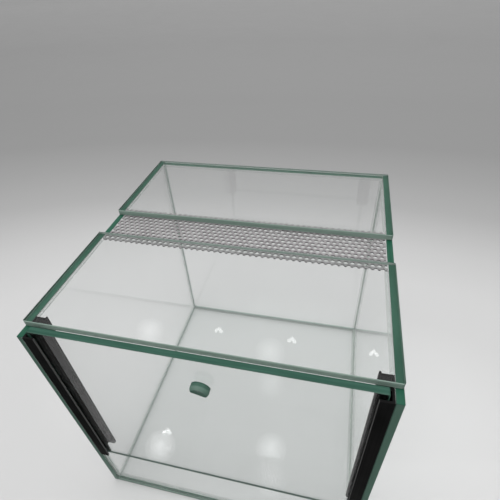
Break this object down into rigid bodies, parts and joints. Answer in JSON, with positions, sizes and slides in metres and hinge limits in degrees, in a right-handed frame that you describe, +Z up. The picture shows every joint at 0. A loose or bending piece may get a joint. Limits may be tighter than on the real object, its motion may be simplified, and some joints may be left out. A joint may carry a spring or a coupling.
{
  "type": "reptile terrarium",
  "caption": "Frameless glass terrarium cube with a perforated roof vent, a front sill and a front pane that slides up and out of two black rails.",
  "frame": {"origin": "centre of the tank's footprint on its underside", "axes": "+X to the viewer's right, -Y out of the front with the sliding pane, +Z up"},
  "size_m": [0.2, 0.2032, 0.2],
  "materials": {
    "glass": "clear float glass with green edges",
    "silicone": "clear cured silicone",
    "rail_plastic": "black extruded PVC, satin",
    "vent_metal": "mill-finish perforated sheet"
  },
  "bodies": {
    "tank": {"base_pane": "glass", "left_side_pane": "glass", "right_side_pane": "glass", "back_pane": "glass", "front_sill_pane": "glass", "front_roof_pane": "glass", "rear_roof_pane": "glass", "vent_mesh": "vent_metal", "left_rail": "rail_plastic", "right_rail": "rail_plastic", "base_left_seam": "silicone", "base_right_seam": "silicone", "base_back_seam": "silicone", "sill_seam": "silicone", "left_sill_seam": "silicone", "right_sill_seam": "silicone", "back_left_seam": "silicone", "back_right_seam": "silicone", "front_roof_left_seam": "silicone", "front_roof_right_seam": "silicone", "rear_roof_left_seam": "silicone", "rear_roof_right_seam": "silicone", "roof_back_seam": "silicone", "vent_front_seam": "silicone", "vent_rear_seam": "silicone", "left_rail_glue": "silicone", "right_rail_glue": "silicone"},
    "door": {"door_pane": "glass", "door_handle": "glass", "handle_glue": "silicone"}
  },
  "joints": [
    {"name": "door_slide", "type": "slide", "parent": "tank", "child": "door", "axis": [0, 0, 1], "range_m": [0, 0.145]}
  ]
}
